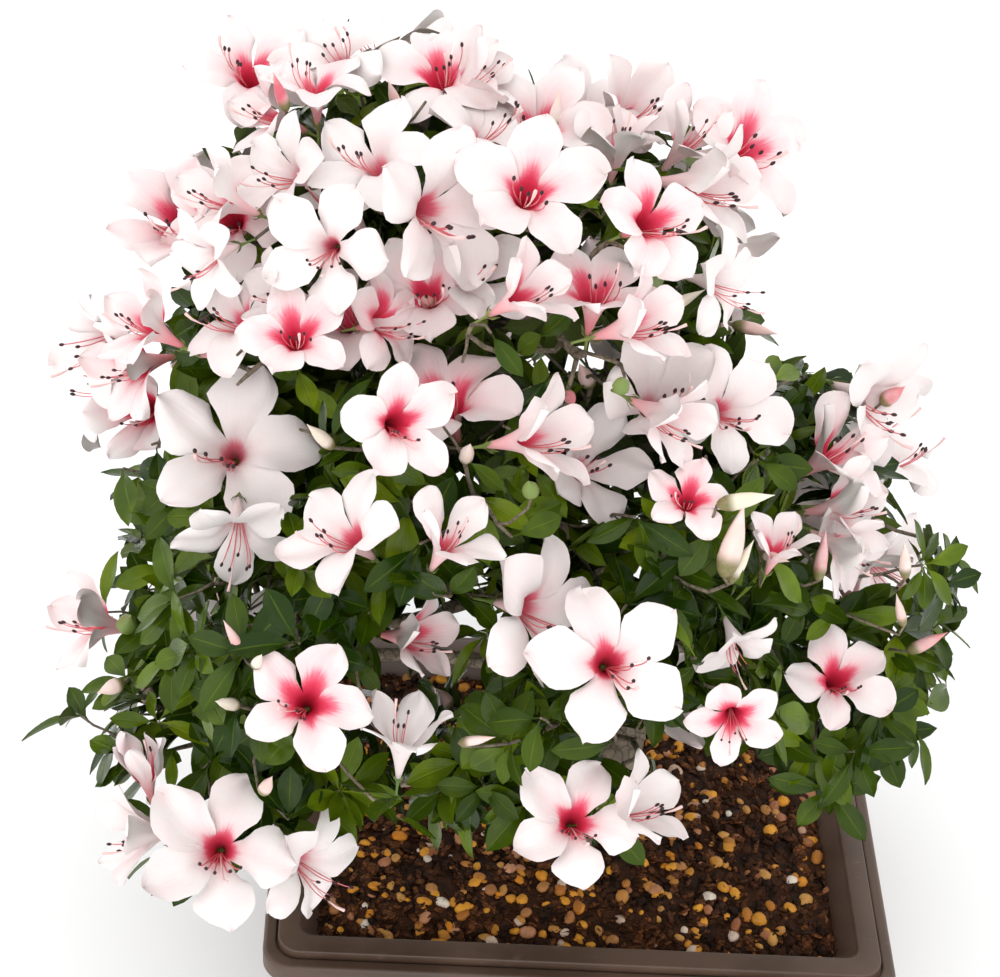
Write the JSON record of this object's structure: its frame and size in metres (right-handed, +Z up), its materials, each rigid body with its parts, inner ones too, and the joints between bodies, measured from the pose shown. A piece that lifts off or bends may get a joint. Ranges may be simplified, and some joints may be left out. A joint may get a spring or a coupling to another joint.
{
  "type": "azalea bonsai",
  "caption": "azalea bonsai in full blossom, white and blush funnel flowers over dark green leaves, in a low brown rectangular training pot",
  "frame": {"origin": "centre of the pot's flat underside, where it stands on a table", "axes": "+Z up; -Y is the front of the pot, its long side nearest the viewer; +X is to the viewer's right"},
  "size_m": [0.4593, 0.4527, 0.5308],
  "materials": {
    "pot_plastic": "matte, with a slight sheen and scuffs",
    "potting_soil": "loose dark bark soil with ochre grit",
    "bark": "rough cracked bark",
    "leaves_and_petals": "satin leaves and soft petals"
  },
  "bodies": {
    "root": {"pot": "pot_plastic", "soil": "potting_soil", "trunk": "bark", "bough_upper_left": "bark", "bough_upper_front": "bark", "bough_upper_right": "bark", "bough_upper_back": "bark", "bough_shoulder_left": "bark", "bough_shoulder_right": "bark", "bough_middle_left": "bark", "bough_middle_front_left": "bark", "bough_middle_front": "bark", "bough_middle_right": "bark", "bough_middle_back_right": "bark", "bough_middle_back_left": "bark", "bough_low_left": "bark", "bough_low_front_left": "bark", "bough_low_front": "bark", "bough_low_right": "bark", "bough_low_back_right": "bark", "bough_low_back": "bark", "bough_low_back_left": "bark", "mass_crown_top": "leaves_and_petals", "mass_upper_left": "leaves_and_petals", "mass_upper_front": "leaves_and_petals", "mass_upper_right": "leaves_and_petals", "mass_upper_back": "leaves_and_petals", "mass_shoulder_left": "leaves_and_petals", "mass_shoulder_right": "leaves_and_petals", "mass_middle_left": "leaves_and_petals", "mass_middle_front_left": "leaves_and_petals", "mass_middle_front": "leaves_and_petals", "mass_middle_right": "leaves_and_petals", "mass_middle_back_right": "leaves_and_petals", "mass_middle_back_left": "leaves_and_petals", "mass_low_left": "leaves_and_petals", "mass_low_front_left": "leaves_and_petals", "mass_low_front": "leaves_and_petals", "mass_low_right": "leaves_and_petals", "mass_low_back_right": "leaves_and_petals", "mass_low_back": "leaves_and_petals", "mass_low_back_left": "leaves_and_petals"}
  },
  "joints": []
}
